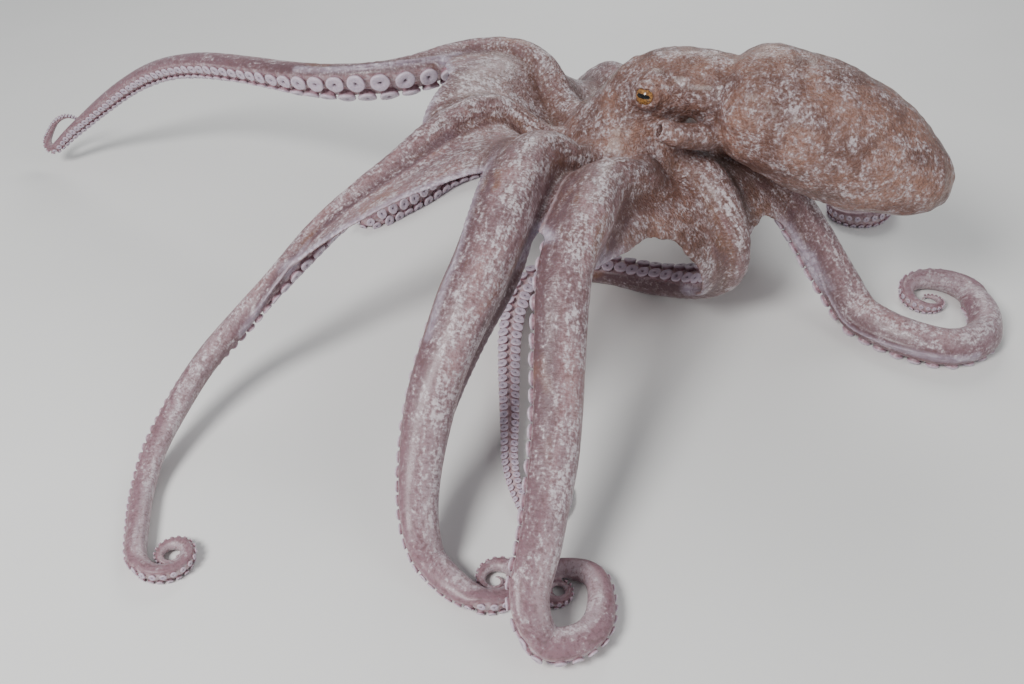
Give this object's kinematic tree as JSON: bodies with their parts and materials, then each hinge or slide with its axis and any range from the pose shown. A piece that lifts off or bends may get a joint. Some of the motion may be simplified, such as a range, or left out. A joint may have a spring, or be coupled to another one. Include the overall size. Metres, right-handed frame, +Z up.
{
  "type": "giant pacific octopus",
  "caption": "Giant Pacific octopus, life size, standing on spread and curled arms with its mantle raised behind the head.",
  "frame": {"origin": "on the floor under the middle of the animal's box", "axes": "+Z up, +X along the longest side of the box, from the far end of the stretched first arm on -X to the arms under the mantle on +X; the animal faces -X, turned a little to +Y"},
  "size_m": [1.4997, 1.0693, 0.3784],
  "materials": {
    "flesh_pink": "moist skin, pink mottled with white",
    "flesh_brown": "moist skin, red-brown with fine folds",
    "web_lilac": "moist thin skin, lilac grey",
    "eye_gold": "wet glossy eye"
  },
  "bodies": {
    "root": {"mantle": "flesh_brown", "head": "flesh_brown", "siphon": "flesh_brown", "eye_left": "eye_gold", "eye_right": "eye_gold", "arm_r1_1": "flesh_pink", "arm_r1_2": "flesh_pink", "arm_r1_3": "flesh_pink", "arm_r1_4": "flesh_pink", "arm_l1_1": "flesh_pink", "arm_l1_2": "flesh_pink", "arm_l1_3": "flesh_pink", "arm_l1_4": "flesh_pink", "arm_l2_1": "flesh_pink", "arm_l2_2": "flesh_pink", "arm_l2_3": "flesh_pink", "arm_l2_4": "flesh_pink", "arm_l3_1": "flesh_pink", "arm_l3_2": "flesh_pink", "arm_l3_3": "flesh_pink", "arm_l3_4": "flesh_pink", "arm_l4_1": "flesh_pink", "arm_l4_2": "flesh_pink", "arm_l4_3": "flesh_pink", "arm_l4_4": "flesh_pink", "arm_r4_1": "flesh_pink", "arm_r4_2": "flesh_pink", "arm_r4_3": "flesh_pink", "arm_r4_4": "flesh_pink", "arm_r3_1": "flesh_pink", "arm_r3_2": "flesh_pink", "arm_r3_3": "flesh_pink", "arm_r3_4": "flesh_pink", "arm_r2_1": "flesh_pink", "arm_r2_2": "flesh_pink", "arm_r2_3": "flesh_pink", "arm_r2_4": "flesh_pink", "web_r1_l1": "web_lilac", "web_l1_l2": "web_lilac", "web_l2_l3": "web_lilac", "web_l3_l4": "web_lilac", "web_l4_r4": "web_lilac", "web_r4_r3": "web_lilac", "web_r3_r2": "web_lilac", "web_r2_r1": "web_lilac"}
  },
  "joints": []
}
